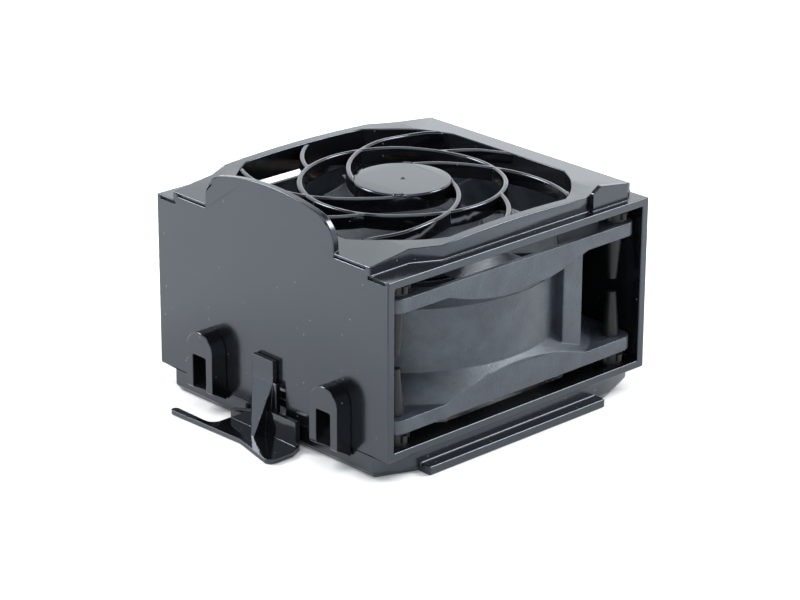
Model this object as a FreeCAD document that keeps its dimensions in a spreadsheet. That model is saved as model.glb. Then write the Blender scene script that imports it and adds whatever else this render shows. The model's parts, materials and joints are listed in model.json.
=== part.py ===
import FreeCAD, Part
import math
import os
import re
import Sketcher

# Server fan module: a 92 mm axial fan held by rubber mounts in a moulded, open-sided housing with a
# spiral finger guard on top, a skirt with guide rails below, and a sprung latch on the front wall.
# Frame: +Z up along the fan's axis, origin on that axis in the plane that the skirt and rails rest on.
# The front wall, with the hump, the cable hooks and the latch, faces -Y. All sizes are in millimetres.

SIZES = {
    # fan envelope and how it sits in the housing
    "fan_size": 92,
    "fan_height": 38,
    "wall": 2.3,
    "side_inset": 1,
    "fan_clearance": 0.7,
    "mount_gap": 3.95,
    "fit_gap": 0.3,
    # housing top: platform with its crown, side tab, front slots, hump
    "platform_rise": 5,
    "platform_inset": 3,
    "corner_inset": 7,
    "jog_start": 14,
    "jog_end": 22,
    "crown_radius": 405,
    "crown_half": 27,
    "crown_shoulder": 35,
    "shoulder_drop": 1,
    "edge_drop": 2.6,
    "tab_front": 29,
    "tab_back": 43,
    "tab_thickness": 1.5,
    "tab_low": 4.9,
    "tab_high": 6.6,
    "slot_height": 0.8,
    "slot_depth": 0.8,
    "hump_half": 26,
    "hump_rise": 14.2,
    "hump_crown_radius": 83,
    "hump_corner_radius": 8,
    "hump_thickness": 2,
    # airflow openings
    "opening_half": 40.8,
    "opening_radius": 46.3,
    # skirt and guide rails
    "skirt_drop": 6.5,
    "skirt_inset": 1.3,
    "skirt_step": 0.3,
    "skirt_wall": 2.2,
    "skirt_corner_x": 4.7,
    "skirt_corner_y": 12,
    "lip_height": 1.6,
    "lip_taper": 35,
    "rail_stand_off": 3.8,
    "rail_height": 2.5,
    "rail_front": 36,
    "rail_back": 31,
    # finger guard
    "guard_width": 1.5,
    "guard_depth": 4.6,
    "guard_disc_radius": 13.6,
    "guard_disc_rise": 0.3,
    "guard_sink": 0.4,
    "guard_ring_radius": 28.4,
    "guard_arm_radius": 34.9,
    "guard_arm_offset": 22.8,
    "guard_arm_angle": -103,
    "guard_short_angle": 25.5,
    # cable hooks on the front wall
    "hook_left": 23.7,
    "hook_right": 27.3,
    "hook_width": 10.9,
    "hook_depth": 5.2,
    "hook_window": 5.5,
    "hook_window_top": 10.2,
    "hook_top": 17.2,
    "hook_bottom": 2.5,
    "hook_slope": 2.8,
    # latch lever
    "latch_arm_left": 5.2,
    "latch_arm_right": 4.6,
    "latch_pad_right": 3.4,
    "latch_arm_top": 16,
    "latch_arm_pad": 9.8,
    "latch_arm_thickness": 1.5,
    "latch_arm_reach": 7,
    "latch_tip_left": 0.4,
    "latch_tip_right": 1.6,
    "latch_web_gap": 1.6,
    "latch_web_thickness": 1.6,
    "latch_web_left": 4,
    "latch_web_middle": 6,
    "latch_web_right": 8.5,
    "latch_lift": 0.2,
    "latch_plate": 1.3,
    "latch_reach": 14.2,
    "latch_tray_left": 13,
    "latch_tray_right": 16.3,
    "latch_tray_corner": 2.3,
    "paddle_reach": 28.5,
    "paddle_front": 12.1,
    "paddle_width": 2.4,
    "paddle_fillet": 3,
    "latch_window_left": 6,
    "latch_window_right": 6.4,
    # fan frame
    "flange": 4,
    "frame_corner_radius": 4,
    "frame_hole_pitch": 82.5,
    "frame_hole_radius": 2.2,
    "bore_radius": 43,
    "barrel_wall": 1.6,
    "flare_radius": 54,
    "flare_length": 10,
    "side_wall": 1.4,
    "wire_boss_front": 19.6,
    "wire_boss_back": 27,
    # motor base, guide vanes and wire trough
    "base_radius": 22.6,
    "base_wall": 1.3,
    "base_plate": 1.7,
    "base_top": 37,
    "base_bottom": 27.6,
    "base_boss_radius": 6.6,
    "base_boss_bottom": 31.2,
    "vane_count": 7,
    "vane_low": 28,
    "vane_high": 36.4,
    "vane_lean": 9,
    "vane_thickness": 1.2,
    "wire_angle": 130,
    "trough_width": 6.8,
    "trough_floor": 30.9,
    "trough_lip": 1.5,
    # impeller
    "tip_clearance": 0.7,
    "hub_radius": 22.8,
    "hub_bottom": 2,
    "hub_top": 27,
    "hub_wall": 1.5,
    "blade_count": 7,
    "blade_low": 3.2,
    "blade_high": 24,
    "blade_root_sweep": 7,
    "blade_tip_sweep": 15,
    "blade_root_thickness": 2,
    "blade_tip_thickness": 1.1,
    # motor
    "yoke_wall": 0.8,
    "magnet_thickness": 1.7,
    "magnet_low": 8,
    "magnet_high": 26,
    "air_gap": 0.5,
    "tube_radius": 5,
    "tube_bottom": 10,
    "bearing_radius": 4,
    "bearing_height": 4,
    "bearing_low": 10.5,
    "bearing_high": 28,
    "race_wall": 0.65,
    "shield_thickness": 0.2,
    "shield_gap": 0.1,
    "shaft_radius": 1.5,
    "shaft_top": 34.6,
    "core_low": 13,
    "core_high": 24,
    "core_hub_radius": 8,
    "tooth_width": 5.6,
    "tooth_tip": 1.8,
    "tooth_span": 62,
    "coil_thickness": 2,
    "board_low": 29.7,
    "board_thickness": 1.2,
    "board_radius": 19.6,
    # rubber mounts
    "pin_neck_radius": 2,
    "pin_collar_radius": 3.4,
    "pin_shoulder_radius": 2.4,
    "pin_tip_radius": 1.3,
    "pin_tail": 13,
    "mount_lobes": 5,
    "mount_lobe_radius": 0.9,
    # lead wires and connector
    "wire_diameter": 1.1,
    "wire_pitch": 1.45,
    "wire_drop_radius": 53,
    "connector_x": -31,
    "connector_width": 11,
    "connector_depth": 9.8,
    "connector_height": 6.5,
    "connector_top": 24,
    "connector_pitch": 2.5,
    "connector_flange": 0.9,
    "connector_flange_depth": 1.2,
    "connector_flange_gap": 0.1,
    "socket_width": 1.6,
    "socket_floor": 2,
    "terminal_thickness": 0.4,
}

DERIVED = {
    "fan_half": "fan_size / 2",
    "half_x": "fan_half + side_inset",
    "half_y": "fan_half + fan_clearance + wall",
    "box_height": "fan_height + 2 * (mount_gap + wall)",
    "box_top": "skirt_drop + box_height",
    "platform_top": "box_top + platform_rise",
    "fan_floor": "skirt_drop + wall + mount_gap",
    "opening_corner": "sqrt(opening_radius ^ 2 - opening_half ^ 2)",
    "skirt_x": "half_x - skirt_inset",
    "skirt_y": "half_y - skirt_step",
    "rail_x": "skirt_x + rail_stand_off",
    "hump_side_z": "sqrt((hump_crown_radius - hump_corner_radius) ^ 2"
                   " - (hump_half - hump_corner_radius) ^ 2) - hump_crown_radius + hump_rise",
    "hump_join": "hump_crown_radius / (hump_crown_radius - hump_corner_radius)",
    "hump_join_x": "(hump_half - hump_corner_radius) * hump_join",
    "hump_join_z": "(hump_side_z + hump_crown_radius - hump_rise) * hump_join"
                   " - hump_crown_radius + hump_rise",
    "hole_half": "frame_hole_pitch / 2",
    "barrel_radius": "bore_radius + barrel_wall",
    "flange_floor": "fan_height - flange",
    "tip_radius": "bore_radius - tip_clearance",
    "yoke_radius": "hub_radius - hub_wall",
    "magnet_radius": "yoke_radius - yoke_wall",
    "core_radius": "magnet_radius - magnet_thickness - air_gap",
    "board_top": "board_low + board_thickness",
}

doc = FreeCAD.newDocument("server_fan_module")
sheet = doc.addObject("Spreadsheet::Sheet", "Sizes")
nodes = []


def fill_sheet():
    for row, (alias, size) in enumerate(SIZES.items(), 1):
        sheet.set(f"A{row}", alias)
        sheet.set(f"B{row}", str(size))
        sheet.setAlias(f"B{row}", alias)
    doc.recompute()


def bound(formula):
    """The formula with each size's name turned into a reference to its cell."""
    def swap(match):
        word = match.group()
        if word in SIZES:
            return "Sizes." + word
        if word in DERIVED:
            return "(" + bound(DERIVED[word]) + ")"
        return word
    return re.sub(r"[a-z][a-z_]*", swap, str(formula))


def value(formula):
    return float(sheet.evalExpression(bound(formula)))


def new_body(label, lift="0"):
    body = doc.addObject("PartDesign::Body", label)
    body.Label = label
    body.setExpression("Placement.Base.z", bound(lift))
    return body


def finish(node, label=None):
    """Registers a finished sub-part under its own label."""
    if label:
        node.Label = label
    nodes.append(node)
    return node


def new_sketch(body, plane, offset="0"):
    """A sketch on one of the body's own origin planes, moved along that plane's normal."""
    sketch = body.newObject("Sketcher::SketchObject", body.Name + "_sketch")
    origin_plane = [f for f in body.Origin.OriginFeatures if f.Role == plane][0]
    sketch.AttachmentSupport = [(origin_plane, "")]
    sketch.MapMode = "FlatFace"
    sketch.setExpression("AttachmentOffset.Base.z", bound(offset))
    return sketch


def pin_point(sketch, geometry, position, x, y):
    """Ties a point of the sketch to its two distances from the sketch's origin."""
    for kind, formula in (("DistanceX", x), ("DistanceY", y)):
        index = sketch.addConstraint(
            Sketcher.Constraint(kind, -1, 1, geometry, position, value(formula)))
        sketch.setExpression(f"Constraints[{index}]", bound(formula))


def draw_outline(sketch, points, arcs=None):
    """A closed outline through points. arcs maps a segment's index to (radius, side), where side is 1
    for an arc whose centre lies to the left of the way along it, and -1 to the right."""
    arcs = arcs or {}
    count = len(points)
    first = sketch.GeometryCount
    corners = [FreeCAD.Vector(value(x), value(y), 0) for x, y in points]
    starts = []
    for i, start in enumerate(corners):
        end = corners[(i + 1) % count]
        if i not in arcs:
            sketch.addGeometry(Part.LineSegment(start, end))
            starts.append(1)
            continue
        radius, side = value(arcs[i][0]), arcs[i][1]
        chord = end - start
        rise = math.sqrt(max(radius ** 2 - chord.Length ** 2 / 4, 0))
        left = FreeCAD.Vector(-chord.y, chord.x, 0) / chord.Length
        centre = (start + end) / 2 + left * rise * side
        ends = (start, end) if side > 0 else (end, start)
        angles = [math.atan2(p.y - centre.y, p.x - centre.x) for p in ends]
        circle = Part.Circle(centre, FreeCAD.Vector(0, 0, 1), radius)
        sketch.addGeometry(Part.ArcOfCircle(circle, *angles))
        starts.append(1 if side > 0 else 2)
    for i in range(count):
        after = (i + 1) % count
        sketch.addConstraint(Sketcher.Constraint(
            "Coincident", first + i, 3 - starts[i], first + after, starts[after]))
        pin_point(sketch, first + i, starts[i], *points[i])
    for i, (radius, _) in arcs.items():
        index = sketch.addConstraint(Sketcher.Constraint("Radius", first + i, value(radius)))
        sketch.setExpression(f"Constraints[{index}]", bound(radius))


def draw_rectangle(sketch, left, right, low, high):
    draw_outline(sketch, [(left, low), (right, low), (right, high), (left, high)])


def draw_circle(sketch, x, y, radius):
    index = sketch.addGeometry(
        Part.Circle(FreeCAD.Vector(value(x), value(y), 0), FreeCAD.Vector(0, 0, 1), value(radius)))
    pin_point(sketch, index, 3, x, y)
    fit = sketch.addConstraint(Sketcher.Constraint("Radius", index, value(radius)))
    sketch.setExpression(f"Constraints[{fit}]", bound(radius))


def solid_feature(body, kind, sketch, length=None, **options):
    """Adds a sketch-based feature, and stops the build if it left the solid as it was."""
    before = body.Shape.Volume if body.Tip else 0
    feature = body.newObject("PartDesign::" + kind, body.Name + "_" + kind.lower())
    feature.Profile = sketch
    if length is not None:
        feature.setExpression("Length", bound(length))
    for name, setting in options.items():
        if name == "TaperAngle":
            feature.setExpression(name, bound(setting))
        else:
            setattr(feature, name, setting)
    doc.recompute()
    if abs(feature.Shape.Volume - before) < 1e-6:
        raise RuntimeError(f"{feature.Name} changed nothing")
    return feature


def revolve(body, points, arcs=None):
    """Turns a profile, given as (radius, height) points, about the body's Z axis."""
    sketch = new_sketch(body, "XZ_Plane")
    draw_outline(sketch, points, arcs)
    before = body.Shape.Volume if body.Tip else 0
    feature = body.newObject("PartDesign::Revolution", body.Name + "_revolution")
    feature.Profile = sketch
    feature.ReferenceAxis = (sketch, ["V_Axis"])
    feature.Angle = 360
    doc.recompute()
    if abs(feature.Shape.Volume - before) < 1e-6:
        raise RuntimeError(f"{feature.Name} changed nothing")
    return feature


def polar(body, features, count):
    """Repeats features evenly about the body's Z axis."""
    pattern = body.newObject("PartDesign::PolarPattern", body.Name + "_polar")
    pattern.Originals = features
    axis = [f for f in body.Origin.OriginFeatures if f.Role == "Z_Axis"][0]
    pattern.Axis = (axis, [""])
    pattern.Angle = 360
    pattern.setExpression("Occurrences", bound(count))
    body.Tip = pattern
    doc.recompute()
    return pattern


def mirror(body, features, plane):
    pattern = body.newObject("PartDesign::Mirrored", body.Name + "_mirror")
    pattern.Originals = features
    origin_plane = [f for f in body.Origin.OriginFeatures if f.Role == plane][0]
    pattern.MirrorPlane = (origin_plane, [""])
    body.Tip = pattern
    doc.recompute()
    return pattern


def both_sides(right):
    """The outline made of the points with x > 0, bottom to top, and their mirror images."""
    return right + [(f"-({x})", y) for x, y in reversed(right)]


# ---- housing -------------------------------------------------------------------------------------

OPENING = [("opening_half", "-(opening_corner)"), ("opening_half", "opening_corner"),
           ("opening_corner", "opening_half"), ("-(opening_corner)", "opening_half"),
           ("-opening_half", "opening_corner"), ("-opening_half", "-(opening_corner)"),
           ("-(opening_corner)", "-opening_half"), ("opening_corner", "-opening_half")]
OPENING_ARCS = {1: ("opening_radius", 1), 3: ("opening_radius", 1),
                5: ("opening_radius", 1), 7: ("opening_radius", 1)}


def platform_outline():
    corner = "half_x - corner_inset"
    side = "half_x - platform_inset"
    return both_sides([
        (corner, "-(half_y)"),
        (corner, "-(half_y) + jog_start"),
        (side, "-(half_y) + jog_end"),
        (side, "half_y - jog_end"),
        (corner, "half_y - jog_start"),
        (corner, "half_y")])


def skirt_outline(inset="0"):
    x, y = f"skirt_x - {inset}", f"skirt_y - {inset}"
    return both_sides([
        (f"{x} - skirt_corner_x", f"-({y})"),
        (x, f"-({y}) + skirt_corner_y"),
        (x, f"{y} - skirt_corner_y"),
        (f"{x} - skirt_corner_x", y)])


def add_tunnel(body):
    sketch = new_sketch(body, "XY_Plane", "skirt_drop")
    draw_rectangle(sketch, "-(half_x)", "half_x", "-(half_y)", "half_y")
    solid_feature(body, "Pad", sketch, "box_height")
    sketch = new_sketch(body, "YZ_Plane")
    draw_rectangle(sketch, "-(half_y) + wall", "half_y - wall", "skirt_drop + wall", "box_top - wall")
    solid_feature(body, "Pocket", sketch, "3 * half_x", Midplane=True)


def cut_crown(body):
    """Cuts the top to a shallow crown along Y that falls away to the front and the back."""
    top = "platform_top"
    over = f"{top} + 5"
    edge = f"{top} - edge_drop"
    shoulder = f"{top} - shoulder_drop"
    side = f"{top} - crown_radius + sqrt(crown_radius ^ 2 - crown_half ^ 2)"
    sketch = new_sketch(body, "YZ_Plane")
    draw_outline(sketch, [
        ("-(half_y)", over), ("-(half_y)", edge), ("-crown_shoulder", shoulder),
        ("-crown_half", side), ("crown_half", side), ("crown_shoulder", shoulder),
        ("half_y", edge), ("half_y", over)],
        {3: ("crown_radius", -1)})
    solid_feature(body, "Pocket", sketch, "3 * half_x", Midplane=True)


def add_platform(body):
    sketch = new_sketch(body, "XY_Plane", "box_top")
    draw_outline(sketch, platform_outline())
    solid_feature(body, "Pad", sketch, "platform_rise")
    cut_crown(body)


def add_tab(body):
    """The thin upright tab on the ledge at the right of the platform."""
    sketch = new_sketch(body, "YZ_Plane", "half_x - platform_inset - tab_thickness / 2")
    peak = "tab_front + tab_thickness * 2"
    draw_outline(sketch, [
        ("tab_front", "box_top - 1"), ("tab_back", "box_top - 1"),
        ("tab_back", "box_top + tab_low"), (peak, "box_top + tab_high"),
        ("tab_front", "box_top + tab_low")])
    solid_feature(body, "Pad", sketch, "tab_thickness")


def add_front_slots(body):
    """Shallow slots just under the front edges of the top, to each side of the hump."""
    corner = "half_x - corner_inset"
    for left, right, edge in (
            ("hump_half", f"{corner} - 2", "platform_top - edge_drop"),
            (f"{corner} - 1", "half_x - 1.5", "box_top")):
        sketch = new_sketch(body, "XZ_Plane", "half_y")
        draw_rectangle(sketch, left, right, f"{edge} - 1.5 * slot_height", f"{edge} - slot_height / 2")
        slot = solid_feature(body, "Pocket", sketch, "slot_depth")
        mirror(body, [slot], "YZ_Plane")


def add_hump(body):
    """The raised grip on the front wall: upright sides, rounded shoulders and a shallow crown."""
    sketch = new_sketch(body, "XZ_Plane", "half_y - hump_thickness")
    draw_outline(sketch, [
        ("-hump_half", "box_top - wall"), ("hump_half", "box_top - wall"),
        ("hump_half", "box_top + hump_side_z"), ("hump_join_x", "box_top + hump_join_z"),
        ("-(hump_join_x)", "box_top + hump_join_z"), ("-hump_half", "box_top + hump_side_z")],
        {2: ("hump_corner_radius", 1), 3: ("hump_crown_radius", 1), 4: ("hump_corner_radius", 1)})
    solid_feature(body, "Pad", sketch, "hump_thickness")


def add_skirt(body):
    """The ring below the floor, with a lip that tapers in at the bottom, and the two guide rails."""
    sketch = new_sketch(body, "XY_Plane", "lip_height")
    draw_outline(sketch, skirt_outline())
    solid_feature(body, "Pad", sketch, "skirt_drop - lip_height")
    sketch = new_sketch(body, "XY_Plane", "lip_height")
    draw_outline(sketch, skirt_outline())
    solid_feature(body, "Pad", sketch, "lip_height", Reversed=True, TaperAngle="-lip_taper")
    sketch = new_sketch(body, "XY_Plane")
    draw_rectangle(sketch, "skirt_x - skirt_wall", "rail_x", "-rail_front", "rail_back")
    rail = solid_feature(body, "Pad", sketch, "rail_height")
    mirror(body, [rail], "YZ_Plane")
    sketch = new_sketch(body, "XY_Plane", "skirt_drop")
    draw_outline(sketch, skirt_outline("skirt_wall"))
    solid_feature(body, "Pocket", sketch, "skirt_drop + 1")


def add_openings(body):
    """The airflow opening through floor and top, the latch window and the connector window."""
    sketch = new_sketch(body, "XY_Plane", "platform_top + 1")
    draw_outline(sketch, OPENING, OPENING_ARCS)
    solid_feature(body, "Pocket", sketch, "platform_top + 2")
    sketch = new_sketch(body, "XZ_Plane", "half_y + 1")
    draw_rectangle(sketch, "-latch_window_left", "latch_window_right",
                   "-1", "skirt_drop + latch_arm_pad - fit_gap")
    solid_feature(body, "Pocket", sketch, "wall + 1 + skirt_wall")
    sketch = new_sketch(body, "XZ_Plane", "-(half_y) + wall + 1")
    draw_rectangle(sketch, "connector_x - connector_width / 2", "connector_x + connector_width / 2",
                   "fan_floor + connector_top - connector_height", "fan_floor + connector_top")
    solid_feature(body, "Pocket", sketch, "wall + 3")


def make_housing():
    body = new_body("housing")
    add_tunnel(body)
    add_platform(body)
    add_tab(body)
    add_front_slots(body)
    add_hump(body)
    add_skirt(body)
    add_openings(body)
    finish(body)


# ---- finger guard --------------------------------------------------------------------------------

def guard_point(radius, angle):
    return (f"({radius}) * cos({angle})", f"({radius}) * sin({angle})")


def make_guard():
    """A disc and a ring joined by four long spiral arms, with four short arms out to the rim. Each
    arm is an arc of one radius, and the whole is cut to the opening's outline and to the crown."""
    raw = new_body("guard_ribs")
    half = "guard_width / 2"
    low = "platform_top - guard_sink - guard_depth"
    sketch = new_sketch(raw, "XY_Plane", low)
    draw_circle(sketch, "0", "0", "guard_disc_radius")
    solid_feature(raw, "Pad", sketch, "guard_depth + guard_disc_rise")
    sketch = new_sketch(raw, "XY_Plane", low)
    draw_circle(sketch, "0", "0", f"guard_ring_radius + {half}")
    draw_circle(sketch, "0", "0", f"guard_ring_radius - {half}")
    solid_feature(raw, "Pad", sketch, "guard_depth")
    sketch = new_sketch(raw, "XY_Plane", low)
    draw_arm(sketch, "guard_arm_angle", "guard_disc_radius - 1", "opening_radius + 2")
    long_arm = solid_feature(raw, "Pad", sketch, "guard_depth")
    polar(raw, [long_arm], "4")
    sketch = new_sketch(raw, "XY_Plane", low)
    turn = f"guard_short_angle - ({arm_crossing('guard_ring_radius')})"
    draw_arm(sketch, turn, "guard_ring_radius", "opening_radius + 2")
    short_arm = solid_feature(raw, "Pad", sketch, "guard_depth")
    polar(raw, [short_arm], "4")
    outline = new_body("guard_outline")
    sketch = new_sketch(outline, "XY_Plane", f"{low} - 1")
    draw_outline(sketch, OPENING, OPENING_ARCS)
    solid_feature(outline, "Pad", sketch, "guard_depth + 4")
    cut_crown(outline)
    guard = doc.addObject("Part::Common", "finger_guard")
    guard.Base, guard.Tool = raw, outline
    doc.recompute()
    finish(guard, "finger_guard")


def arm_crossing(radius):
    """Angle, from the line to the arm's arc centre, at which the arm's centre line crosses a radius."""
    return (f"acos((({radius}) ^ 2 + guard_arm_offset ^ 2 - guard_arm_radius ^ 2)"
            f" / (2 * ({radius}) * guard_arm_offset)) / 1 deg")


def draw_arm(sketch, centre_angle, inner, outer):
    """One arm, as the band between two arcs about a centre that lies off the fan's axis."""
    centre_x = f"guard_arm_offset * cos({centre_angle})"
    centre_y = f"guard_arm_offset * sin({centre_angle})"
    inner_angle = f"({centre_angle}) + ({arm_crossing(inner)})"
    outer_angle = f"({centre_angle}) + ({arm_crossing(outer)})"
    points = []
    for angle, radius in ((outer_angle, outer), (inner_angle, inner)):
        x, y = guard_point(radius, angle)
        for side in (1, -1):
            grow = f"(1 + {side} * guard_width / 2 / guard_arm_radius)"
            points.append((f"{centre_x} + ({x} - {centre_x}) * {grow}",
                           f"{centre_y} + ({y} - {centre_y}) * {grow}"))
    outer_out, outer_in, inner_out, inner_in = points
    draw_outline(sketch, [outer_out, inner_out, inner_in, outer_in],
                 {0: ("guard_arm_radius + guard_width / 2", 1),
                  2: ("guard_arm_radius - guard_width / 2", -1)})



# ---- cable hooks and latch -----------------------------------------------------------------------

def make_hook(label, centre):
    """An arched loop standing off the front wall, with a window between its two legs."""
    body = new_body(label)
    half = "hook_width / 2"
    bottom = "skirt_drop - hook_bottom"
    shoulder = "skirt_drop + hook_top - hook_width / 2"
    sketch = new_sketch(body, "XZ_Plane", "half_y")
    draw_outline(sketch, [
        (f"{centre} - {half}", bottom),
        (f"{centre} + {half}", bottom),
        (f"{centre} + {half}", shoulder),
        (centre, "skirt_drop + hook_top"),
        (f"{centre} - {half}", shoulder)],
        {2: (half, 1), 3: (half, 1)})
    solid_feature(body, "Pad", sketch, "hook_depth")
    sketch = new_sketch(body, "XZ_Plane", "half_y + hook_depth + 1")
    draw_rectangle(sketch, f"{centre} - hook_window / 2", f"{centre} + hook_window / 2",
                   f"{bottom} - 1", "skirt_drop + hook_window_top")
    solid_feature(body, "Pocket", sketch, "hook_depth + 2")
    sketch = new_sketch(body, "YZ_Plane", centre)
    front = "-(half_y + hook_depth)"
    draw_outline(sketch, [
        ("-(half_y)", f"{bottom} - 1"), ("-(half_y)", bottom),
        (front, f"{bottom} + hook_slope"), (front, f"{bottom} - 1")])
    solid_feature(body, "Pocket", sketch, "hook_width + 2", Midplane=True)
    finish(body)


def arm_rectangle(body, right, level):
    """The arm's back plate in plan, at one level."""
    back = "half_y + fit_gap"
    sketch = new_sketch(body, "XY_Plane", level)
    draw_rectangle(sketch, "-latch_arm_left", right,
                   f"-({back} + latch_arm_thickness)", f"-({back})")
    return sketch


def add_latch_arm(body):
    """The spring arm: a pad at its root, a plate down to the tray, and a wedge that leans out."""
    root = "skirt_drop + latch_arm_pad"
    pad = arm_rectangle(body, "latch_pad_right", root)
    solid_feature(body, "Pad", pad, "latch_arm_top - latch_arm_pad")
    plate = arm_rectangle(body, "latch_arm_right", "latch_lift")
    solid_feature(body, "Pad", plate, f"{root} - latch_lift")
    tip = new_sketch(body, "XY_Plane", "latch_lift + latch_plate")
    draw_rectangle(tip, "latch_tip_left", "latch_tip_right",
                   "-(half_y + fit_gap + latch_arm_reach)", "-(half_y + fit_gap)")
    wedge = body.newObject("PartDesign::AdditiveLoft", body.Name + "_wedge")
    wedge.Profile = arm_rectangle(body, "latch_pad_right", root)
    wedge.Sections = [tip]
    wedge.Ruled = True
    doc.recompute()


def add_latch_web(body):
    """The upright web across the arm, higher to the right, that stiffens the tray."""
    sketch = new_sketch(body, "XZ_Plane", "half_y + latch_web_gap")
    right = "latch_tray_right - latch_tray_corner"
    draw_outline(sketch, [
        ("-latch_tray_left", "latch_lift"), (right, "latch_lift"), (right, "latch_web_right"),
        ("latch_arm_right", "latch_web_right"), ("-latch_arm_left", "latch_web_middle"),
        ("-latch_tray_left", "latch_web_left")])
    solid_feature(body, "Pad", sketch, "latch_web_thickness")


def latch_plate_outline():
    back = "-(half_y + latch_web_gap)"
    front = "-(half_y + latch_reach)"
    paddle_front = "-(half_y + paddle_front)"
    paddle_back = "-(half_y + paddle_front - paddle_width)"
    corner = "latch_tray_corner"
    return [
        ("-latch_tray_left", back),
        (f"latch_tray_right - {corner}", back),
        ("latch_tray_right", f"{back} - 2 * {corner}"),
        ("latch_tray_right", f"{front} + {corner}"),
        (f"latch_tray_right - {corner}", front),
        ("0", f"{paddle_front} + paddle_width / 2"),
        ("-paddle_reach + paddle_width / 2", paddle_front),
        ("-paddle_reach", f"{paddle_front} + paddle_width / 2"),
        ("-paddle_reach + paddle_width / 2", paddle_back),
        ("-latch_tray_left - paddle_fillet", paddle_back),
        ("-latch_tray_left", f"{paddle_back} + paddle_fillet")]


def add_latch_plate(body):
    """The finger paddle and the tray that joins it to the arm."""
    sketch = new_sketch(body, "XY_Plane", "latch_lift")
    draw_outline(sketch, latch_plate_outline(), {
        3: ("latch_tray_corner", -1), 6: ("paddle_width / 2", -1),
        7: ("paddle_width / 2", -1), 9: ("paddle_fillet", 1)})
    solid_feature(body, "Pad", sketch, "latch_plate")


def make_latch():
    body = new_body("latch_lever")
    add_latch_arm(body)
    add_latch_web(body)
    add_latch_plate(body)
    finish(body)


# ---- fan frame -----------------------------------------------------------------------------------

def flare_profile(radius, flare):
    """Half-section of a tube whose both ends flare out, as (radius, height) points."""
    return [("0", "0"), (flare, "0"), (flare, "flange / 2"), (radius, "flare_length"),
            (radius, "fan_height - flare_length"), (flare, "fan_height - flange / 2"),
            (flare, "fan_height"), ("0", "fan_height")]


def square_prism(label, half, corner, low, high):
    body = new_body(label)
    sketch = new_sketch(body, "XY_Plane", low)
    flat = f"{half} - {corner}"
    draw_outline(sketch, [
        (flat, f"-({half})"), (half, f"-({flat})"), (half, flat), (flat, half),
        (f"-({flat})", half), (f"-({half})", flat), (f"-({half})", f"-({flat})"),
        (f"-({flat})", f"-({half})")], {i: (corner, 1) for i in (0, 2, 4, 6)})
    solid_feature(body, "Pad", sketch, f"{high} - ({low})")
    return body


def boolean(kind, label, base, tool):
    result = doc.addObject("Part::" + kind, label)
    result.Base, result.Tool = base, tool
    doc.recompute()
    return result


def make_flanges():
    body = square_prism("frame_flanges", "fan_half", "frame_corner_radius", "0", "fan_height")
    sketch = new_sketch(body, "XY_Plane", "flange_floor")
    draw_circle(sketch, "0", "0", "2 * fan_half")
    solid_feature(body, "Pocket", sketch, "flange_floor - flange")
    return body


def add_wire_boss(body):
    sketch = new_sketch(body, "XY_Plane", "flange - 1")
    draw_rectangle(sketch, "barrel_radius - 10", "barrel_radius - 1.2",
                   "wire_boss_front", "wire_boss_back")
    solid_feature(body, "Pad", sketch, "flange_floor - flange + 2")


def make_motor_mount():
    """The motor's cup and its boss, the guide vanes out to the barrel, and the wire trough."""
    body = new_body("motor_mount")
    revolve(body, [
        ("tube_radius", "base_boss_bottom"), ("base_boss_radius", "base_boss_bottom"),
        ("base_boss_radius", "base_top - base_plate"),
        ("base_radius - base_wall", "base_top - base_plate"),
        ("base_radius - base_wall", "base_bottom"), ("base_radius", "base_bottom"),
        ("base_radius", "base_top - 1.2"), ("base_radius - 1.2", "base_top"),
        ("tube_radius + 10", "base_top"), ("tube_radius + 9.4", "base_top - 0.5"),
        ("tube_radius", "base_top - 0.5")])
    low, high = "vane_low", "vane_high"
    sections = []
    for reach in ("base_radius - 0.8", "bore_radius + 0.3"):
        sketch = new_sketch(body, "YZ_Plane", reach)
        half = "vane_thickness / 2"
        draw_outline(sketch, [
            (f"-vane_lean / 2 - {half}", low), (f"-vane_lean / 2 + {half}", low),
            (f"vane_lean / 2 + {half}", high), (f"vane_lean / 2 - {half}", high)])
        sections.append(sketch)
    vane = body.newObject("PartDesign::AdditiveLoft", "guide_vane")
    vane.Profile = sections[0]
    vane.Sections = [sections[1]]
    vane.Ruled = True
    doc.recompute()
    polar(body, [vane], "vane_count")
    return body


def trough_box(label, width, low, high, near, far):
    """A box along the wire trough's direction, given by its distances from the fan's axis."""
    box = doc.addObject("Part::Box", label)
    box.setExpression("Length", bound(f"{far} - ({near})"))
    box.setExpression("Width", bound(width))
    box.setExpression("Height", bound(f"{high} - ({low})"))
    box.setExpression("Placement.Rotation.Angle", bound("wire_angle"))
    across = f"({width}) / 2"
    box.setExpression("Placement.Base.x", bound(
        f"({near}) * cos(wire_angle) + {across} * sin(wire_angle)"))
    box.setExpression("Placement.Base.y", bound(
        f"({near}) * sin(wire_angle) - {across} * cos(wire_angle)"))
    box.setExpression("Placement.Base.z", bound(low))
    doc.recompute()
    return box


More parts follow.
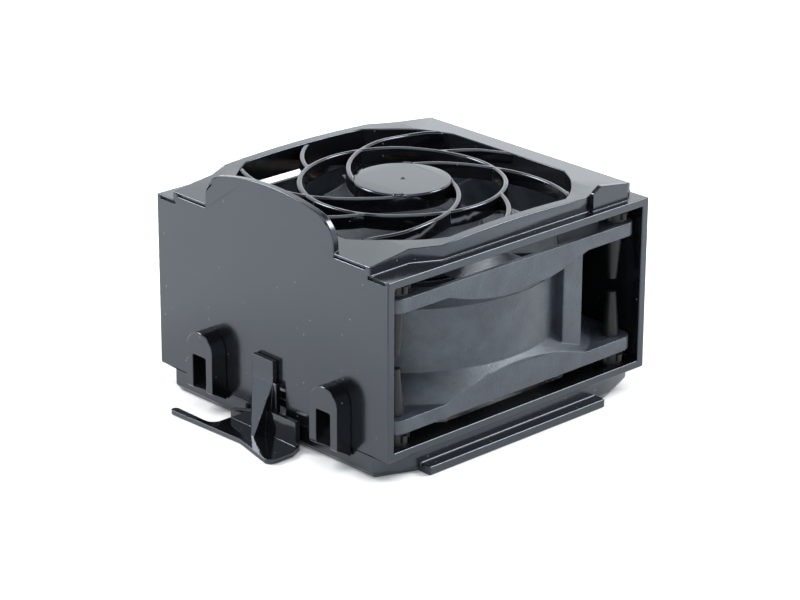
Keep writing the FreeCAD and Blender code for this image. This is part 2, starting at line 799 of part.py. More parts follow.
def make_fan_frame():
    outer = new_body("barrel_outer")
    revolve(outer, flare_profile("barrel_radius", "flare_radius + barrel_wall"))
    add_wire_boss(outer)
    outer = boolean("Common", "barrel_in_square", outer, square_prism(
        "outer_square", "fan_half", "frame_corner_radius", "0", "fan_height"))
    solid = boolean("Fuse", "barrel_and_flanges", outer, make_flanges())
    bore = new_body("bore_solid")
    revolve(bore, flare_profile("bore_radius", "flare_radius"))
    bore = boolean("Common", "bore_in_square", bore, square_prism(
        "inner_square", "fan_half - side_wall", "frame_corner_radius", "-1", "fan_height + 1"))
    shell = boolean("Cut", "frame_shell", solid, bore)
    mounted = boolean("Fuse", "frame_with_motor_mount", shell, make_motor_mount())
    trough = trough_box("trough", "trough_width + 2", "trough_floor - 1",
                        "trough_floor + trough_lip", "base_radius - 0.6", "bore_radius + 0.6")
    mounted = boolean("Fuse", "frame_with_trough", mounted, trough)
    channel = trough_box("wire_channel", "trough_width", "trough_floor",
                         "trough_floor + trough_lip + 0.2", "base_radius - 3", "flare_radius + 4")
    mounted = boolean("Cut", "frame_with_channel", mounted, channel)
    holes = new_body("frame_holes")
    sketch = new_sketch(holes, "XY_Plane", "-1")
    draw_circle(sketch, "hole_half", "hole_half", "frame_hole_radius")
    hole = solid_feature(holes, "Pad", sketch, "fan_height + 2")
    polar(holes, [hole], "4")
    frame = boolean("Cut", "fan_frame", mounted, holes)
    frame.setExpression("Placement.Base.z", bound("fan_floor"))
    doc.recompute()
    finish(frame, "fan_frame")


# ---- impeller ------------------------------------------------------------------------------------

def add_blade_section(body, reach, sweep, thickness):
    """One blade section, a slim crescent in the plane at this distance from the axis."""
    sketch = new_sketch(body, "YZ_Plane", reach)
    draw_outline(sketch, [
        (f"-({sweep})", "blade_low"), (f"-({sweep}) + {thickness}", "blade_low"),
        (sweep, "blade_high"), (f"{sweep} - 0.6", "blade_high")],
        {1: (f"2.2 * ({sweep}) + 14", 1), 3: (f"2.2 * ({sweep}) + 14", -1)})
    return sketch


def make_impeller():
    """A hub with swept blades, turned down to the tip radius."""
    body = new_body("hub_and_blades", "fan_floor")
    revolve(body, [
        ("0", "hub_bottom"), ("hub_radius - 3", "hub_bottom"), ("hub_radius", "hub_bottom + 3"),
        ("hub_radius", "hub_top"), ("yoke_radius", "hub_top"),
        ("yoke_radius", "hub_bottom + hub_wall"), ("0", "hub_bottom + hub_wall")],
        {1: ("3", 1)})
    seat = "max(yoke_radius + 0.3, sqrt(hub_radius ^ 2 - (blade_root_sweep + 0.5) ^ 2))"
    root = add_blade_section(body, seat, "blade_root_sweep", "blade_root_thickness")
    tip = add_blade_section(body, "tip_radius + 1", "blade_tip_sweep", "blade_tip_thickness")
    blade = body.newObject("PartDesign::AdditiveLoft", "blade")
    blade.Profile = root
    blade.Sections = [tip]
    blade.Ruled = True
    doc.recompute()
    polar(body, [blade], "blade_count")
    swept = doc.addObject("Part::Cylinder", "swept_space")
    swept.setExpression("Radius", bound("tip_radius"))
    swept.setExpression("Height", bound("fan_height"))
    swept.setExpression("Placement.Base.z", bound("fan_floor"))
    finish(boolean("Common", "impeller", body, swept), "impeller")


# ---- motor ---------------------------------------------------------------------------------------

def make_ring(label, inner, outer, low, high):
    body = new_body(label, "fan_floor")
    revolve(body, [(inner, low), (outer, low), (outer, high), (inner, high)])
    finish(body)
    return body


def make_rotor_parts():
    body = new_body("rotor_yoke", "fan_floor")
    floor = "hub_bottom + hub_wall"
    revolve(body, [
        ("shaft_radius", floor), ("yoke_radius", floor), ("yoke_radius", "hub_top - 0.5"),
        ("magnet_radius", "hub_top - 0.5"), ("magnet_radius", f"{floor} + yoke_wall"),
        ("shaft_radius + 2", f"{floor} + yoke_wall"), ("shaft_radius + 2", "magnet_low"),
        ("shaft_radius", "magnet_low")])
    finish(body)
    make_ring("rotor_magnet", "magnet_radius - magnet_thickness", "magnet_radius",
              "magnet_low", "magnet_high")
    body = new_body("shaft", "fan_floor")
    groove = "bearing_high + bearing_height + 0.7"
    revolve(body, [
        ("0", floor), ("shaft_radius", floor), ("shaft_radius", groove),
        ("shaft_radius - 0.3", groove), ("shaft_radius - 0.3", f"{groove} + 0.5"),
        ("shaft_radius", f"{groove} + 0.5"), ("shaft_radius", "shaft_top - 0.4"),
        ("shaft_radius - 0.4", "shaft_top"), ("0", "shaft_top")])
    finish(body)
    make_ring("shim_washer", "shaft_radius", "shaft_radius + 1.1",
              "bearing_high + bearing_height", groove)
    body = new_body("retaining_clip", "fan_floor")
    revolve(body, [("shaft_radius - 0.25", groove), ("shaft_radius + 1.2", groove),
                   ("shaft_radius + 1.2", f"{groove} + 0.5"),
                   ("shaft_radius - 0.25", f"{groove} + 0.5")])
    sketch = new_sketch(body, "XY_Plane", f"{groove} + 1")
    draw_rectangle(sketch, "0", "5", "-0.8", "0.8")
    solid_feature(body, "Pocket", sketch, "2")
    finish(body)


def make_bearing(place, low):
    """A shielded ball bearing: the two races, and the shields that close the ball track."""
    high = f"{low} + bearing_height"
    track = "shaft_radius + race_wall + shield_gap"
    make_ring(f"{place}_bearing_inner_race", "shaft_radius", "shaft_radius + race_wall", low, high)
    make_ring(f"{place}_bearing_outer_race", "bearing_radius - race_wall", "bearing_radius", low, high)
    make_ring(f"{place}_bearing_lower_shield", track, "bearing_radius - race_wall",
              f"{low} + shield_gap", f"{low} + shield_gap + shield_thickness")
    make_ring(f"{place}_bearing_upper_shield", track, "bearing_radius - race_wall",
              f"{high} - shield_gap - shield_thickness", f"{high} - shield_gap")


def make_stator():
    make_tube()
    body = new_body("stator_core", "fan_floor")
    revolve(body, [("tube_radius", "core_low"), ("core_hub_radius", "core_low"),
                   ("core_hub_radius", "core_high"), ("tube_radius", "core_high")])
    sketch = new_sketch(body, "XY_Plane", "core_low")
    half = "tooth_width / 2"
    inner = "(core_radius - tooth_tip)"
    span = "tooth_span / 2"
    draw_outline(sketch, [
        ("core_hub_radius - 1", f"-{half}"), (f"{inner} - 0.4", f"-{half}"),
        guard_point(inner, f"-{span}"), guard_point("core_radius", f"-{span}"),
        guard_point("core_radius", span), guard_point(inner, span),
        (f"{inner} - 0.4", half), ("core_hub_radius - 1", half)],
        {3: ("core_radius", 1)})
    tooth = solid_feature(body, "Pad", sketch, "core_high - core_low")
    polar(body, [tooth], "4")
    finish(body)


def make_tube():
    body = new_body("bearing_tube", "fan_floor")
    low, high = "bearing_low", "bearing_high"
    revolve(body, [
        ("bearing_radius", "tube_bottom"), ("tube_radius", "tube_bottom"),
        ("tube_radius", "base_top - 0.5"), ("bearing_radius", "base_top - 0.5"),
        ("bearing_radius", high), ("bearing_radius - 0.5", high),
        ("bearing_radius - 0.5", f"{low} + bearing_height"),
        ("bearing_radius", f"{low} + bearing_height")])
    finish(body)

def make_windings():
    """Four coils, each a loop round one tooth of the core."""
    gap = "0.25"
    half = f"tooth_width / 2 + {gap}"
    near, far = "core_hub_radius + 0.6", "core_radius - tooth_tip - 1.4"
    low, high = f"core_low - {gap}", f"core_high + {gap}"
    coils = []
    for i in range(4):
        solids = []
        for name, grow in (("outside", "coil_thickness"), ("inside", "0")):
            box = doc.addObject("Part::Box", f"coil_{i + 1}_{name}")
            stretch = "1" if name == "inside" else "0"
            box.setExpression("Length", bound(f"{far} - ({near}) + 2 * {stretch}"))
            box.setExpression("Width", bound(f"2 * ({half} + {grow})"))
            box.setExpression("Height", bound(f"{high} - ({low}) + 2 * {grow}"))
            start, side = f"({near} - {stretch})", f"({half} + {grow})"
            turn = f"{90 * i}"
            box.setExpression("Placement.Rotation.Angle", bound(turn))
            box.setExpression("Placement.Base.x", bound(f"{start} * cos({turn}) + {side} * sin({turn})"))
            box.setExpression("Placement.Base.y", bound(f"{start} * sin({turn}) - {side} * cos({turn})"))
            box.setExpression("Placement.Base.z", bound(f"fan_floor + {low} - {grow}"))
            solids.append(box)
        coils.append(boolean("Cut", f"coil_{i + 1}", *solids))
    group = doc.addObject("Part::Compound", "coil_windings")
    group.Links = coils
    doc.recompute()
    finish(group, "coil_windings")


def make_chip(label, along, across, length, width, height, turn="0", under=False):
    """A component on the motor's circuit board, placed by its distances along and across a direction."""
    box = doc.addObject("Part::Box", label)
    box.setExpression("Length", bound(length))
    box.setExpression("Width", bound(width))
    box.setExpression("Height", bound(height))
    box.setExpression("Placement.Rotation.Angle", bound(turn))
    start, side = f"({along} - ({length}) / 2)", f"(({width}) / 2 - ({across}))"
    box.setExpression("Placement.Base.x", bound(f"{start} * cos({turn}) + {side} * sin({turn})"))
    box.setExpression("Placement.Base.y", bound(f"{start} * sin({turn}) - {side} * cos({turn})"))
    level = f"board_low - ({height})" if under else "board_top"
    box.setExpression("Placement.Base.z", bound(f"fan_floor + {level}"))
    doc.recompute()
    finish(box, label)


def make_electronics():
    make_ring("circuit_board", "tube_radius + 0.3", "board_radius", "board_low", "board_top")
    make_chip("driver_chip", "13", "0", "5", "4", "1.4", turn="170")
    make_chip("hall_sensor", "core_radius - 1.6", "0", "2.4", "3", "1.3", turn="135", under=True)
    make_chip("filter_capacitor", "14", "0", "3.4", "2.6", "2.2", turn="265")
    make_chip("supply_diode", "14", "0", "3", "2", "1.5", turn="320")


# ---- rubber mounts -------------------------------------------------------------------------------

def make_mount(label, side_x, side_y, upper):
    """A rubber mount: a lobed collar between housing and flange, a neck through the flange's hole,
    and a tapered tail past it. The lower mounts stand upright and the upper ones hang."""
    body = new_body(label)
    tail = "mount_gap + flange"
    revolve(body, [
        ("0", "0"), ("pin_collar_radius", "0"), ("pin_collar_radius", "mount_gap"),
        ("pin_neck_radius", "mount_gap"), ("pin_neck_radius", tail),
        ("pin_shoulder_radius", tail), ("pin_tip_radius", f"{tail} + pin_tail"),
        ("0", f"{tail} + pin_tail")])
    sketch = new_sketch(body, "XY_Plane", "mount_gap * 0.25")
    draw_circle(sketch, "pin_collar_radius", "0", "mount_lobe_radius")
    lobe = solid_feature(body, "Pad", sketch, "mount_gap * 0.5")
    polar(body, [lobe], "mount_lobes")
    body.setExpression("Placement.Base.x", bound(f"{side_x} * hole_half"))
    body.setExpression("Placement.Base.y", bound(f"{side_y} * hole_half"))
    if upper:
        body.Placement.Rotation = FreeCAD.Rotation(FreeCAD.Vector(1, 0, 0), 180)
    level = "box_top - wall" if upper else "skirt_drop + wall"
    body.setExpression("Placement.Base.z", bound(level))
    doc.recompute()
    finish(body)


def make_mounts():
    for level in ("lower", "upper"):
        for side, x in (("left", -1), ("right", 1)):
            for end, y in (("front", -1), ("back", 1)):
                make_mount(f"{level}_mount_{end}_{side}", x, y, level == "upper")


# ---- connector and lead wires --------------------------------------------------------------------

def make_connector():
    """The blind-mate connector in the back wall: a block with four sockets, snapped in by its sides."""
    body = new_body("connector_body", "fan_floor")
    half = "connector_width / 2"
    low, high = "connector_top - connector_height", "connector_top"
    middle = "connector_top - connector_height / 2"
    sketch = new_sketch(body, "XZ_Plane", "-(half_y)")
    draw_rectangle(sketch, f"connector_x - {half}", f"connector_x + {half}", low, high)
    solid_feature(body, "Pad", sketch, "connector_depth")
    sketch = new_sketch(body, "XZ_Plane", "-(half_y) + wall + connector_flange_gap")
    draw_rectangle(sketch, f"connector_x - {half} - connector_flange",
                   f"connector_x + {half} + connector_flange", f"{low} - connector_flange", high)
    solid_feature(body, "Pad", sketch, "connector_flange_depth")
    sketch = new_sketch(body, "XZ_Plane", "-(half_y)")
    for i in range(4):
        x = f"connector_x + ({i} - 1.5) * connector_pitch"
        draw_rectangle(sketch, f"{x} - socket_width / 2", f"{x} + socket_width / 2",
                       f"{middle} - socket_width / 2", f"{middle} + socket_width / 2")
    solid_feature(body, "Pocket", sketch, "connector_depth - socket_floor", Reversed=True)
    finish(body)
    pins = []
    for i in range(4):
        pin = doc.addObject("Part::Box", f"terminal_{i + 1}")
        for side, size in (("Length", "socket_width"), ("Height", "terminal_thickness"),
                           ("Width", "connector_depth - 2 * socket_floor")):
            pin.setExpression(side, bound(size))
        pin.setExpression("Placement.Base.x", bound(
            f"connector_x + ({i} - 1.5) * connector_pitch - socket_width / 2"))
        pin.setExpression("Placement.Base.y", bound("half_y - connector_depth + socket_floor"))
        pin.setExpression("Placement.Base.z", bound(f"fan_floor + {middle} - socket_width / 2"))
        pins.append(pin)
    group = doc.addObject("Part::Compound", "connector_terminals")
    group.Links = pins
    doc.recompute()
    finish(group, "connector_terminals")


def rounded_path(points):
    """Straight runs joined by tangent arcs, each as large as its two runs allow."""
    edges = []
    start = points[0]
    for before, corner, after in zip(points, points[1:], points[2:]):
        arrive, leave = corner - before, after - corner
        turn = arrive.getAngle(leave)
        trim = 0.45 * min(arrive.Length, leave.Length)
        radius = trim / math.tan(turn / 2)
        enter = corner - FreeCAD.Vector(arrive).normalize() * trim
        exit_point = corner + FreeCAD.Vector(leave).normalize() * trim
        inward = (enter + exit_point) / 2 - corner
        reach = math.hypot(radius, trim)
        middle = corner + inward.normalize() * (reach - radius)
        edges.append(Part.LineSegment(start, enter).toShape())
        edges.append(Part.Arc(enter, middle, exit_point).toShape())
        start = exit_point
    edges.append(Part.LineSegment(start, points[-1]).toShape())
    return Part.Wire(edges)


def make_wire(label, index):
    """One lead: from the board along the trough, out through the barrel, and down to the connector."""
    turn = math.radians(value("wire_angle"))
    radial = FreeCAD.Vector(math.cos(turn), math.sin(turn), 0)
    across = FreeCAD.Vector(-math.sin(turn), math.cos(turn), 0) * (index - 1.5) * value("wire_pitch")
    radius = value("wire_diameter / 2")
    level = "trough_floor + wire_diameter / 2 + 0.05"
    stops = [("tube_radius + 4.5", level), ("wire_drop_radius", level),
             ("wire_drop_radius", "connector_top")]
    points = [radial * value(reach) + across + FreeCAD.Vector(0, 0, value(f"fan_floor + {height}"))
              for reach, height in stops]
    path = rounded_path(points)
    end = Part.Wire(Part.makeCircle(radius, points[0], points[1] - points[0]))
    wire = doc.addObject("Part::Feature", label)
    wire.Shape = path.makePipeShell([end], True, True)
    expected = math.pi * radius ** 2 * path.Length
    if abs(wire.Shape.Volume - expected) > 0.02 * expected:
        raise RuntimeError(f"{label} has volume {wire.Shape.Volume:.2f}, not {expected:.2f}")
    finish(wire, label)


def make_wires():
    for index, colour in enumerate(("red", "black", "yellow", "blue")):
        make_wire(f"lead_wire_{colour}", index)


def check_document():
    for item in doc.Objects:
        if "Invalid" in item.State or "Error" in item.State:
            raise RuntimeError(f"{item.Name} failed: {item.State}")
    for node in nodes:
        if node.Shape.isNull() or not node.Shape.isValid():
            raise RuntimeError(f"{node.Label} has a bad shape")


def export_parts():
    os.makedirs("parts", exist_ok=True)
    for node in nodes:
        node.Shape.exportStep(f"parts/{node.Label}.step")
        solids = len(node.Shape.Solids)
        print(f"{node.Label}: {solids} solid(s), {node.Shape.Volume:.1f} mm3")


fill_sheet()
make_housing()
make_guard()
make_hook("cable_hook_left", "-hook_left")
make_hook("cable_hook_right", "hook_right")
make_latch()
make_fan_frame()
make_impeller()
make_rotor_parts()
make_bearing("lower", "bearing_low")
make_bearing("upper", "bearing_high")
make_stator()
make_windings()
make_electronics()
make_mounts()
make_connector()
make_wires()
check_document()
export_parts()
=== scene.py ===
"""Looks of the server fan module: finishes, edge radii, gate mark and studio."""

import json
import math

import bmesh
import bpy
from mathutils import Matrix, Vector


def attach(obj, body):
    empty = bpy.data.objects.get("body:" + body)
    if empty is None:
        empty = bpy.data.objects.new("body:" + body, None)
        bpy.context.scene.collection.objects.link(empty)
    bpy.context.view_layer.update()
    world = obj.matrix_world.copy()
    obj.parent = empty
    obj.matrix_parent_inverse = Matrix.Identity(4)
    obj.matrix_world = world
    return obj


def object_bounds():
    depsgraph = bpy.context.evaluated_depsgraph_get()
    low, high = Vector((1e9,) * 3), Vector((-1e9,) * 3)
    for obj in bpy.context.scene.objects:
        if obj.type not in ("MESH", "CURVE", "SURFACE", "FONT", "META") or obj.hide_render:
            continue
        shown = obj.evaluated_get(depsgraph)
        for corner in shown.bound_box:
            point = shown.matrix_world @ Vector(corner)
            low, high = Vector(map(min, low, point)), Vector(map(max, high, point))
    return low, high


MM = 0.001

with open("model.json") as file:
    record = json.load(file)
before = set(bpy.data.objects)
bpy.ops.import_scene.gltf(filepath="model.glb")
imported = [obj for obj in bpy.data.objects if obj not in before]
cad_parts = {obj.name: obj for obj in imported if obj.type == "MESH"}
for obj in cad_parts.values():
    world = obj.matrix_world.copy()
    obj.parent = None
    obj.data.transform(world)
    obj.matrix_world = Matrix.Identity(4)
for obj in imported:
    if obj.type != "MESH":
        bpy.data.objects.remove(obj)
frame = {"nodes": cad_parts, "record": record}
cad_low, cad_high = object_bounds()

# Camera: a long lens looking down on the corner between the hook wall and the open side.
CAMERA_AIM = Vector((7.2, -7.6, 30.0)) * MM
CAMERA_DISTANCE = 0.8035
CAMERA_AZIMUTH = 46.78
CAMERA_ELEVATION = 21.5
CAMERA_ROLL = 0.29
CAMERA_LENS = 131.1
CAMERA_CLIP = (0.05, 20)

# Noise mostly stays between these two values, so they are stretched to a material's own range.
NOISE_RANGE = (0.3, 0.7)
FLOW_SCALE = 60
FLOW_DETAIL = 4
FLOW_BAND = (0.35, 0.65)
SPECULAR = 0.5

# Glossy black: colours of its flow marks, then its waves, its grain and its dust specks.
BLACK_TONES = ((0.0022, 0.0024, 0.0028), (0.0036, 0.0039, 0.0044))
BLACK_SPECULAR = 0.78
BLACK_SPECULAR_TINT = (0.76, 0.86, 1.0, 1.0)
BLACK_SKIN_SCALE = 700
WAVE_SCALE = 45
WAVE_STRENGTH = 0.25
WAVE_DEPTH = 0.04 * MM
BLACK_GRAIN_SCALE = 2600
BLACK_GRAIN_STRENGTH = 0.35
BLACK_GRAIN_DEPTH = 0.004 * MM
DUST_SCALE = 380.0
DUST_SIZE = 0.07
DUST_SHARE = 0.4
DUST_COLOUR = (0.16, 0.165, 0.17, 1)
SATIN_ROUGH = (0.15, 0.21)
POLISHED_ROUGH = (0.07, 0.12)

# Fan plastic: glass-filled, out of a spark-eroded mould.
FAN_CLOUD_SCALE = 150
FAN_CLOUD_BAND = (0.34, 0.66)
FAN_TONES = ((0.014, 0.017, 0.023), (0.034, 0.041, 0.052))
FAN_GRAIN_SCALE = 1900
FAN_GRAIN_STRENGTH = 0.8
FAN_GRAIN_DEPTH = 0.16 * MM
FAN_ROUGH = (0.28, 0.42)
FAN_SPECULAR = 0.65
FAN_SPECULAR_TINT = (0.86, 0.93, 1.0, 1.0)

# Other moulded finishes: two tones, a range of roughness, the grain's scale and its depth.
SKIN_SCALE = 900
SKIN_STRENGTH = 0.5
RUBBER_SPECULAR = 0.3
WIRE_SURFACE = ((0.3, 0.42), 1500, 0.02 * MM)
MOULDED = {
    "mount_rubber": ((0.0035, 0.0035, 0.004), (0.007, 0.007, 0.0075),
                     (0.36, 0.48), 1800, 0.03 * MM, RUBBER_SPECULAR),
    "wire_red": ((0.28, 0.01, 0.012), (0.42, 0.016, 0.018), *WIRE_SURFACE),
    "wire_black": ((0.01, 0.01, 0.01), (0.025, 0.025, 0.025), *WIRE_SURFACE),
    "wire_yellow": ((0.5, 0.34, 0.02), (0.65, 0.46, 0.03), *WIRE_SURFACE),
    "wire_blue": ((0.015, 0.05, 0.24), (0.025, 0.08, 0.34), *WIRE_SURFACE),
    "connector_plastic": ((0.014, 0.014, 0.015), (0.024, 0.024, 0.026),
                          (0.35, 0.48), 1800, 0.03 * MM),
    "board": ((0.01, 0.06, 0.03), (0.015, 0.1, 0.045), (0.3, 0.42), 1200, 0.02 * MM),
    "chip": ((0.015, 0.015, 0.016), (0.028, 0.028, 0.03), (0.5, 0.62), 2600, 0.02 * MM),
}

# Metals: two tones, a range of roughness and, for turned or wound ones, the marks' stretch.
MARK_SCALE = 400
SCRATCH_SCALE = 3000
SCRATCH_STRENGTH = 0.3
SCRATCH_DEPTH = 0.01 * MM
METALS = {
    "copper": ((0.62, 0.2, 0.08), (0.8, 0.3, 0.14), (0.25, 0.4), (1, 1, 12)),
    "terminal_metal": ((0.75, 0.55, 0.22), (0.9, 0.68, 0.3), (0.18, 0.3)),
    "brass": ((0.55, 0.38, 0.13), (0.72, 0.52, 0.2), (0.22, 0.36), (1, 1, 20)),
    "magnet": ((0.05, 0.05, 0.052), (0.09, 0.09, 0.095), (0.5, 0.65)),
    "motor_steel": ((0.3, 0.3, 0.31), (0.46, 0.46, 0.48), (0.3, 0.46), (1, 1, 16)),
    "bearing_steel": ((0.5, 0.5, 0.52), (0.68, 0.68, 0.7), (0.14, 0.26)),
}

# The moulded nodes that the photograph shows at a higher gloss than the walls.
POLISHED = ("finger_guard", "cable_hook_left", "cable_hook_right", "latch_lever")

# Edge radii, in millimetres. Hardened normals draw crease lines over the faces of the nodes in
# CREASED, so those have normals weighted by face area instead.
EDGES = {
    "housing": 0.35, "finger_guard": 0.5, "cable_hook_left": 0.35, "cable_hook_right": 0.35,
    "latch_lever": 0.14, "fan_frame": 0.3, "impeller": 0.15, "connector_body": 0.2,
}
CREASED = ("finger_guard", "fan_frame", "impeller")
JOIN_DISTANCE = 0.002 * MM
EDGE_SEGMENTS = 2
# Above the corner between two facets of one curve, so that curves aren't bevelled facet by facet.
EDGE_ANGLE = 34
NORMAL_WEIGHT = 80

# Gate mark, in millimetres: each ring's radius and its height over the guard's disc.
GATE_PROFILE = ((0.32, -0.15), (0.42, 0.12), (0.62, 0.16), (0.85, 0.05), (1.0, -0.15))
GATE_SIDES = 24
DISC_REACH = 14 * MM

# Studio: soft boxes as azimuth, elevation, distance, size and power.
SOFT_BOXES = {
    "left_box": (-62, 40, 1.2, 0.42, 11),
    "back_box": (150, 43, 1.2, 0.42, 11),
    "top_box": (40, 80, 1.1, 0.7, 5),
}
FLOOR_SIZE = 8
FLOOR_TONES = ((0.86, 0.86, 0.86), (0.9, 0.9, 0.9))
FLOOR_ROUGHNESS = 0.7
FLOOR_NOISE_SCALE = 3
# The room's colour by the Z of the direction looked in: 0 is level, 1 is overhead.
ROOM_TONES = ((0.0, (0.95, 0.98, 1.0)), (0.5, (0.93, 0.97, 1.0)), (0.72, (0.16, 0.17, 0.18)))
ROOM_STRENGTH = 1.75


def towards(azimuth, elevation):
    """Unit vector from the object towards a place seen at these angles, in degrees."""
    a, e = math.radians(azimuth), math.radians(elevation)
    return Vector((math.sin(a) * math.cos(e), -math.cos(a) * math.cos(e), math.sin(e)))


def link(name, data):
    """Adds an object with this data to the scene."""
    thing = bpy.data.objects.new(name, data)
    bpy.context.scene.collection.objects.link(thing)
    return thing


def add_camera():
    data = bpy.data.cameras.new("studio_camera")
    data.lens = CAMERA_LENS
    data.clip_start, data.clip_end = CAMERA_CLIP
    camera = link("studio_camera", data)
    back = towards(CAMERA_AZIMUTH, CAMERA_ELEVATION)
    turn = back.to_track_quat("Z", "Y").to_matrix().to_4x4()
    turn.translation = CAMERA_AIM + back * CAMERA_DISTANCE
    camera.matrix_world = turn
    camera.rotation_euler.rotate_axis("Z", math.radians(CAMERA_ROLL))
    bpy.context.scene.camera = camera


def set_ramp(node, stops):
    """Gives a colour ramp these stops, each a position and a colour."""
    elements = node.color_ramp.elements
    while len(elements) < len(stops):
        elements.new(0.5)
    for element, (position, colour) in zip(elements, stops):
        element.position = position
        element.color = (*colour, 1.0)


class Nodes:
    """A material's node tree, with one call per node."""

    def __init__(self, name):
        self.material = bpy.data.materials.new(name)
        self.material.use_nodes = True
        self.tree = self.material.node_tree
        self.shader = self.tree.nodes["Principled BSDF"]

    def give(self, socket, given):
        """Links a socket to another, or sets its value."""
        if isinstance(given, bpy.types.NodeSocket):
            self.tree.links.new(given, socket)
        else:
            socket.default_value = given

    def add(self, kind, inputs, **settings):
        node = self.tree.nodes.new("ShaderNode" + kind)
        for key, setting in settings.items():
            setattr(node, key, setting)
        for key, given in inputs.items():
            self.give(node.inputs[key], given)
        return node

    def place(self):
        return self.add("TexCoord", {}).outputs["Object"]

    def noise(self, scale, detail, roughness, stretch=None):
        vector = self.place()
        if stretch:
            vector = self.add("Mapping", {"Vector": vector, "Scale": stretch}).outputs[0]
        inputs = {"Vector": vector, "Scale": scale, "Detail": detail, "Roughness": roughness}
        return self.add("TexNoise", inputs).outputs["Fac"]

    def tones(self, fac, band, tones):
        """Goes from one tone to the other as fac crosses the band."""
        node = self.add("ValToRGB", {"Fac": fac})
        set_ramp(node, list(zip(band, tones)))
        return node.outputs["Color"]

    def spread(self, fac, low, high):
        inputs = {"Value": fac, "From Min": NOISE_RANGE[0], "From Max": NOISE_RANGE[1],
                  "To Min": low, "To Max": high}
        return self.add("MapRange", inputs).outputs["Result"]

    def compare(self, value, limit):
        return self.add("Math", {0: value, 1: limit}, operation="LESS_THAN").outputs[0]

    def bump(self, height, strength, distance, **under):
        inputs = {"Height": height, "Strength": strength, "Distance": distance, **under}
        return self.add("Bump", inputs).outputs["Normal"]

    def finish(self, **sockets):
        for key, given in sockets.items():
            self.give(self.shader.inputs[key.replace("_", " ")], given)
        return self.material


def moulded(name, dark, light, rough, grain, depth, specular=SPECULAR):
    """A moulded plastic: faint flow marks in its colour, uneven gloss and a fine grain."""
    nodes = Nodes(name)
    flow = nodes.noise(FLOW_SCALE, FLOW_DETAIL, 0.6)
    skin = nodes.noise(SKIN_SCALE, 3, 0.6)
    fine = nodes.noise(grain, 2, 0.5)
    return nodes.finish(
        Base_Color=nodes.tones(flow, FLOW_BAND, (dark, light)),
        Roughness=nodes.spread(skin, *rough),
        Specular_IOR_Level=specular,
        Normal=nodes.bump(fine, SKIN_STRENGTH, depth))


def gloss_black(name, rough):
    """Glossy moulded black, slightly wavy, with a few specks of pale dust."""
    nodes = Nodes(name)
    flow = nodes.noise(FLOW_SCALE, FLOW_DETAIL, 0.6)
    skin = nodes.noise(BLACK_SKIN_SCALE, 3, 0.6)
    wave = nodes.noise(WAVE_SCALE, 1, 0.4)
    fine = nodes.noise(BLACK_GRAIN_SCALE, 2, 0.5)
    tint = nodes.tones(flow, FLOW_BAND, BLACK_TONES)
    cells = nodes.add(
        "TexVoronoi", {"Vector": nodes.place(), "Scale": DUST_SCALE, "Randomness": 1.0})
    near = nodes.compare(cells.outputs["Distance"], DUST_SIZE)
    chosen = nodes.add("SeparateColor", {"Color": cells.outputs["Color"]})
    few = nodes.compare(chosen.outputs["Red"], DUST_SHARE)
    speck = nodes.add("Math", {0: near, 1: few}, operation="MULTIPLY").outputs[0]
    dust = nodes.add("MixRGB", {"Fac": speck, "Color1": tint, "Color2": DUST_COLOUR})
    waves = nodes.bump(wave, WAVE_STRENGTH, WAVE_DEPTH)
    return nodes.finish(
        Base_Color=dust.outputs["Color"],
        Roughness=nodes.spread(skin, *rough),
        Specular_IOR_Level=BLACK_SPECULAR,
        Specular_Tint=BLACK_SPECULAR_TINT,
        Normal=nodes.bump(fine, BLACK_GRAIN_STRENGTH, BLACK_GRAIN_DEPTH, Normal=waves))


def fan_plastic():
    """Satin glass-filled plastic with a fine pebbled grain."""
    nodes = Nodes("fan_plastic")
    cloud = nodes.noise(FAN_CLOUD_SCALE, 5, 0.7)
    grain = nodes.noise(FAN_GRAIN_SCALE, 3, 0.65)
    return nodes.finish(
        Base_Color=nodes.tones(cloud, FAN_CLOUD_BAND, FAN_TONES),
        Roughness=nodes.spread(grain, *FAN_ROUGH),
        Specular_IOR_Level=FAN_SPECULAR,
        Specular_Tint=FAN_SPECULAR_TINT,
        Normal=nodes.bump(grain, FAN_GRAIN_STRENGTH, FAN_GRAIN_DEPTH))


def metal(name, dark, light, rough, stretch=(1, 1, 1)):
    """A metal with fine marks, drawn out along the axis when stretched."""
    nodes = Nodes(name)
    marks = nodes.noise(MARK_SCALE, 4, 0.6, stretch)
    fine = nodes.noise(SCRATCH_SCALE, 2, 0.5, stretch)
    return nodes.finish(
        Base_Color=nodes.tones(marks, NOISE_RANGE, (dark, light)),
        Metallic=1.0,
        Roughness=nodes.spread(marks, *rough),
        Normal=nodes.bump(fine, SCRATCH_STRENGTH, SCRATCH_DEPTH))


def dress_nodes():
    """Gives every CAD node its finish by material slot, and returns the finishes."""
    finishes = {"housing_plastic": gloss_black("housing_plastic", SATIN_ROUGH),
                "fan_plastic": fan_plastic()}
    finishes.update({slot: moulded(slot, *look) for slot, look in MOULDED.items()})
    finishes.update({slot: metal(slot, *look) for slot, look in METALS.items()})
    for part in frame["record"]["subparts"]:
        materials = frame["nodes"][part["node"]].data.materials
        materials.clear()
        materials.append(finishes[part["material_slot"]])
    polished = gloss_black("housing_plastic_polished", POLISHED_ROUGH)
    for name in POLISHED:
        frame["nodes"][name].data.materials[0] = polished
    return finishes


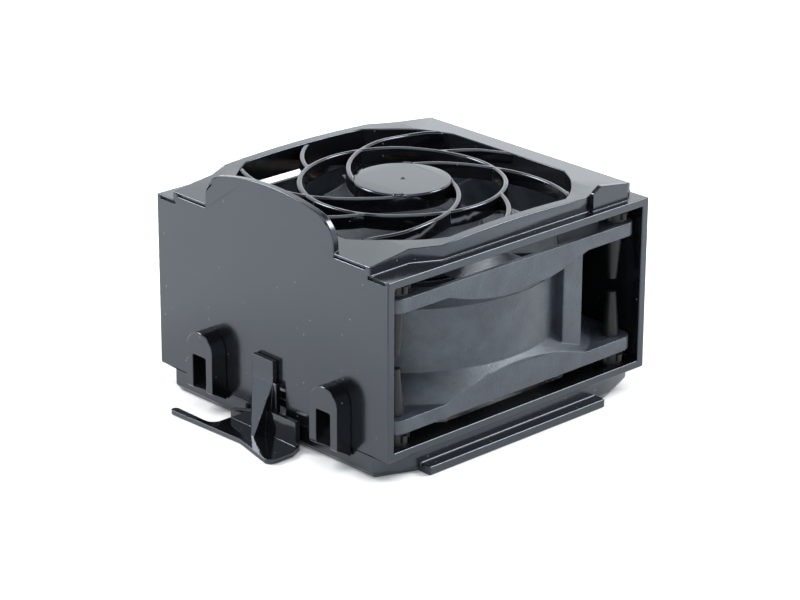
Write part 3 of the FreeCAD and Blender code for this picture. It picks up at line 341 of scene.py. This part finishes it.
def round_edges(name, width):
    """Rounds a moulded node's corners: joins its facets, then bevels every edge over EDGE_ANGLE."""
    node = frame["nodes"][name]
    mesh = node.data
    if "custom_normal" in mesh.attributes:
        mesh.attributes.remove(mesh.attributes["custom_normal"])
    mesh.polygons.foreach_set("use_smooth", [True] * len(mesh.polygons))
    weld = node.modifiers.new("joined", "WELD")
    weld.merge_threshold = JOIN_DISTANCE
    bevel = node.modifiers.new("edges", "BEVEL")
    bevel.width = width * MM
    bevel.segments = EDGE_SEGMENTS
    bevel.limit_method = "ANGLE"
    bevel.angle_limit = math.radians(EDGE_ANGLE)
    bevel.use_clamp_overlap = False
    bevel.miter_outer = "MITER_ARC"
    bevel.harden_normals = name not in CREASED
    if name in CREASED:
        even = node.modifiers.new("even_normals", "WEIGHTED_NORMAL")
        even.keep_sharp = False
        even.weight = NORMAL_WEIGHT


def add_gate_mark(finishes):
    """The injection point's nub with its raised ring, in the middle of the guard's disc."""
    guard = frame["nodes"]["finger_guard"]
    disc = [v.co for v in guard.data.vertices if v.co.xy.length < DISC_REACH]
    top = max((guard.matrix_world @ co).z for co in disc)
    shape = bmesh.new()
    turns = [math.tau * i / GATE_SIDES for i in range(GATE_SIDES)]
    rings = [
        [shape.verts.new((radius * math.cos(a) * MM, radius * math.sin(a) * MM, top + rise * MM))
         for a in turns]
        for radius, rise in GATE_PROFILE]
    shape.faces.new(rings[0])
    for inner, outer in zip(rings, rings[1:]):
        for i in range(GATE_SIDES):
            j = (i + 1) % GATE_SIDES
            shape.faces.new((inner[i], outer[i], outer[j], inner[j]))
    shape.faces.new(rings[-1][::-1])
    mesh = bpy.data.meshes.new("gate_mark")
    shape.to_mesh(mesh)
    shape.free()
    mesh.polygons.foreach_set("use_smooth", [True] * len(mesh.polygons))
    mesh.materials.append(finishes["housing_plastic"])
    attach(link("gate_mark", mesh), "module")


def add_light(name, azimuth, elevation, distance, size, power):
    """A square soft box that looks at the middle of the object."""
    data = bpy.data.lights.new(name, "AREA")
    data.energy = power
    data.size = size
    light = link(name, data)
    direction = towards(azimuth, elevation)
    light.location = (cad_low + cad_high) / 2 + direction * distance
    light.rotation_euler = direction.to_track_quat("Z", "Y").to_euler()


def add_floor():
    bpy.ops.mesh.primitive_plane_add(size=FLOOR_SIZE, location=(0, 0, cad_low.z))
    floor = bpy.context.object
    floor.name = "studio_floor"
    nodes = Nodes("studio_floor")
    tone = nodes.noise(FLOOR_NOISE_SCALE, 2, 0.5)
    floor.data.materials.append(nodes.finish(
        Base_Color=nodes.tones(tone, NOISE_RANGE, FLOOR_TONES), Roughness=FLOOR_ROUGHNESS))


def add_room():
    """The surroundings: bright up to 30 degrees over the horizon, dim from 46 degrees up."""
    room = bpy.data.worlds.new("studio")
    room.use_nodes = True
    tree = room.node_tree
    background = tree.nodes["Background"]
    direction = tree.nodes.new("ShaderNodeTexCoord")
    height = tree.nodes.new("ShaderNodeSeparateXYZ")
    wall = tree.nodes.new("ShaderNodeValToRGB")
    set_ramp(wall, ROOM_TONES)
    tree.links.new(direction.outputs["Generated"], height.inputs[0])
    tree.links.new(height.outputs["Z"], wall.inputs["Fac"])
    tree.links.new(wall.outputs["Color"], background.inputs["Color"])
    background.inputs["Strength"].default_value = ROOM_STRENGTH
    bpy.context.scene.world = room


add_camera()
finishes = dress_nodes()
for name, width in EDGES.items():
    round_edges(name, width)
add_gate_mark(finishes)
add_floor()
add_room()
for name, box in SOFT_BOXES.items():
    add_light(name, *box)
bpy.context.scene.view_settings.view_transform = "Standard"
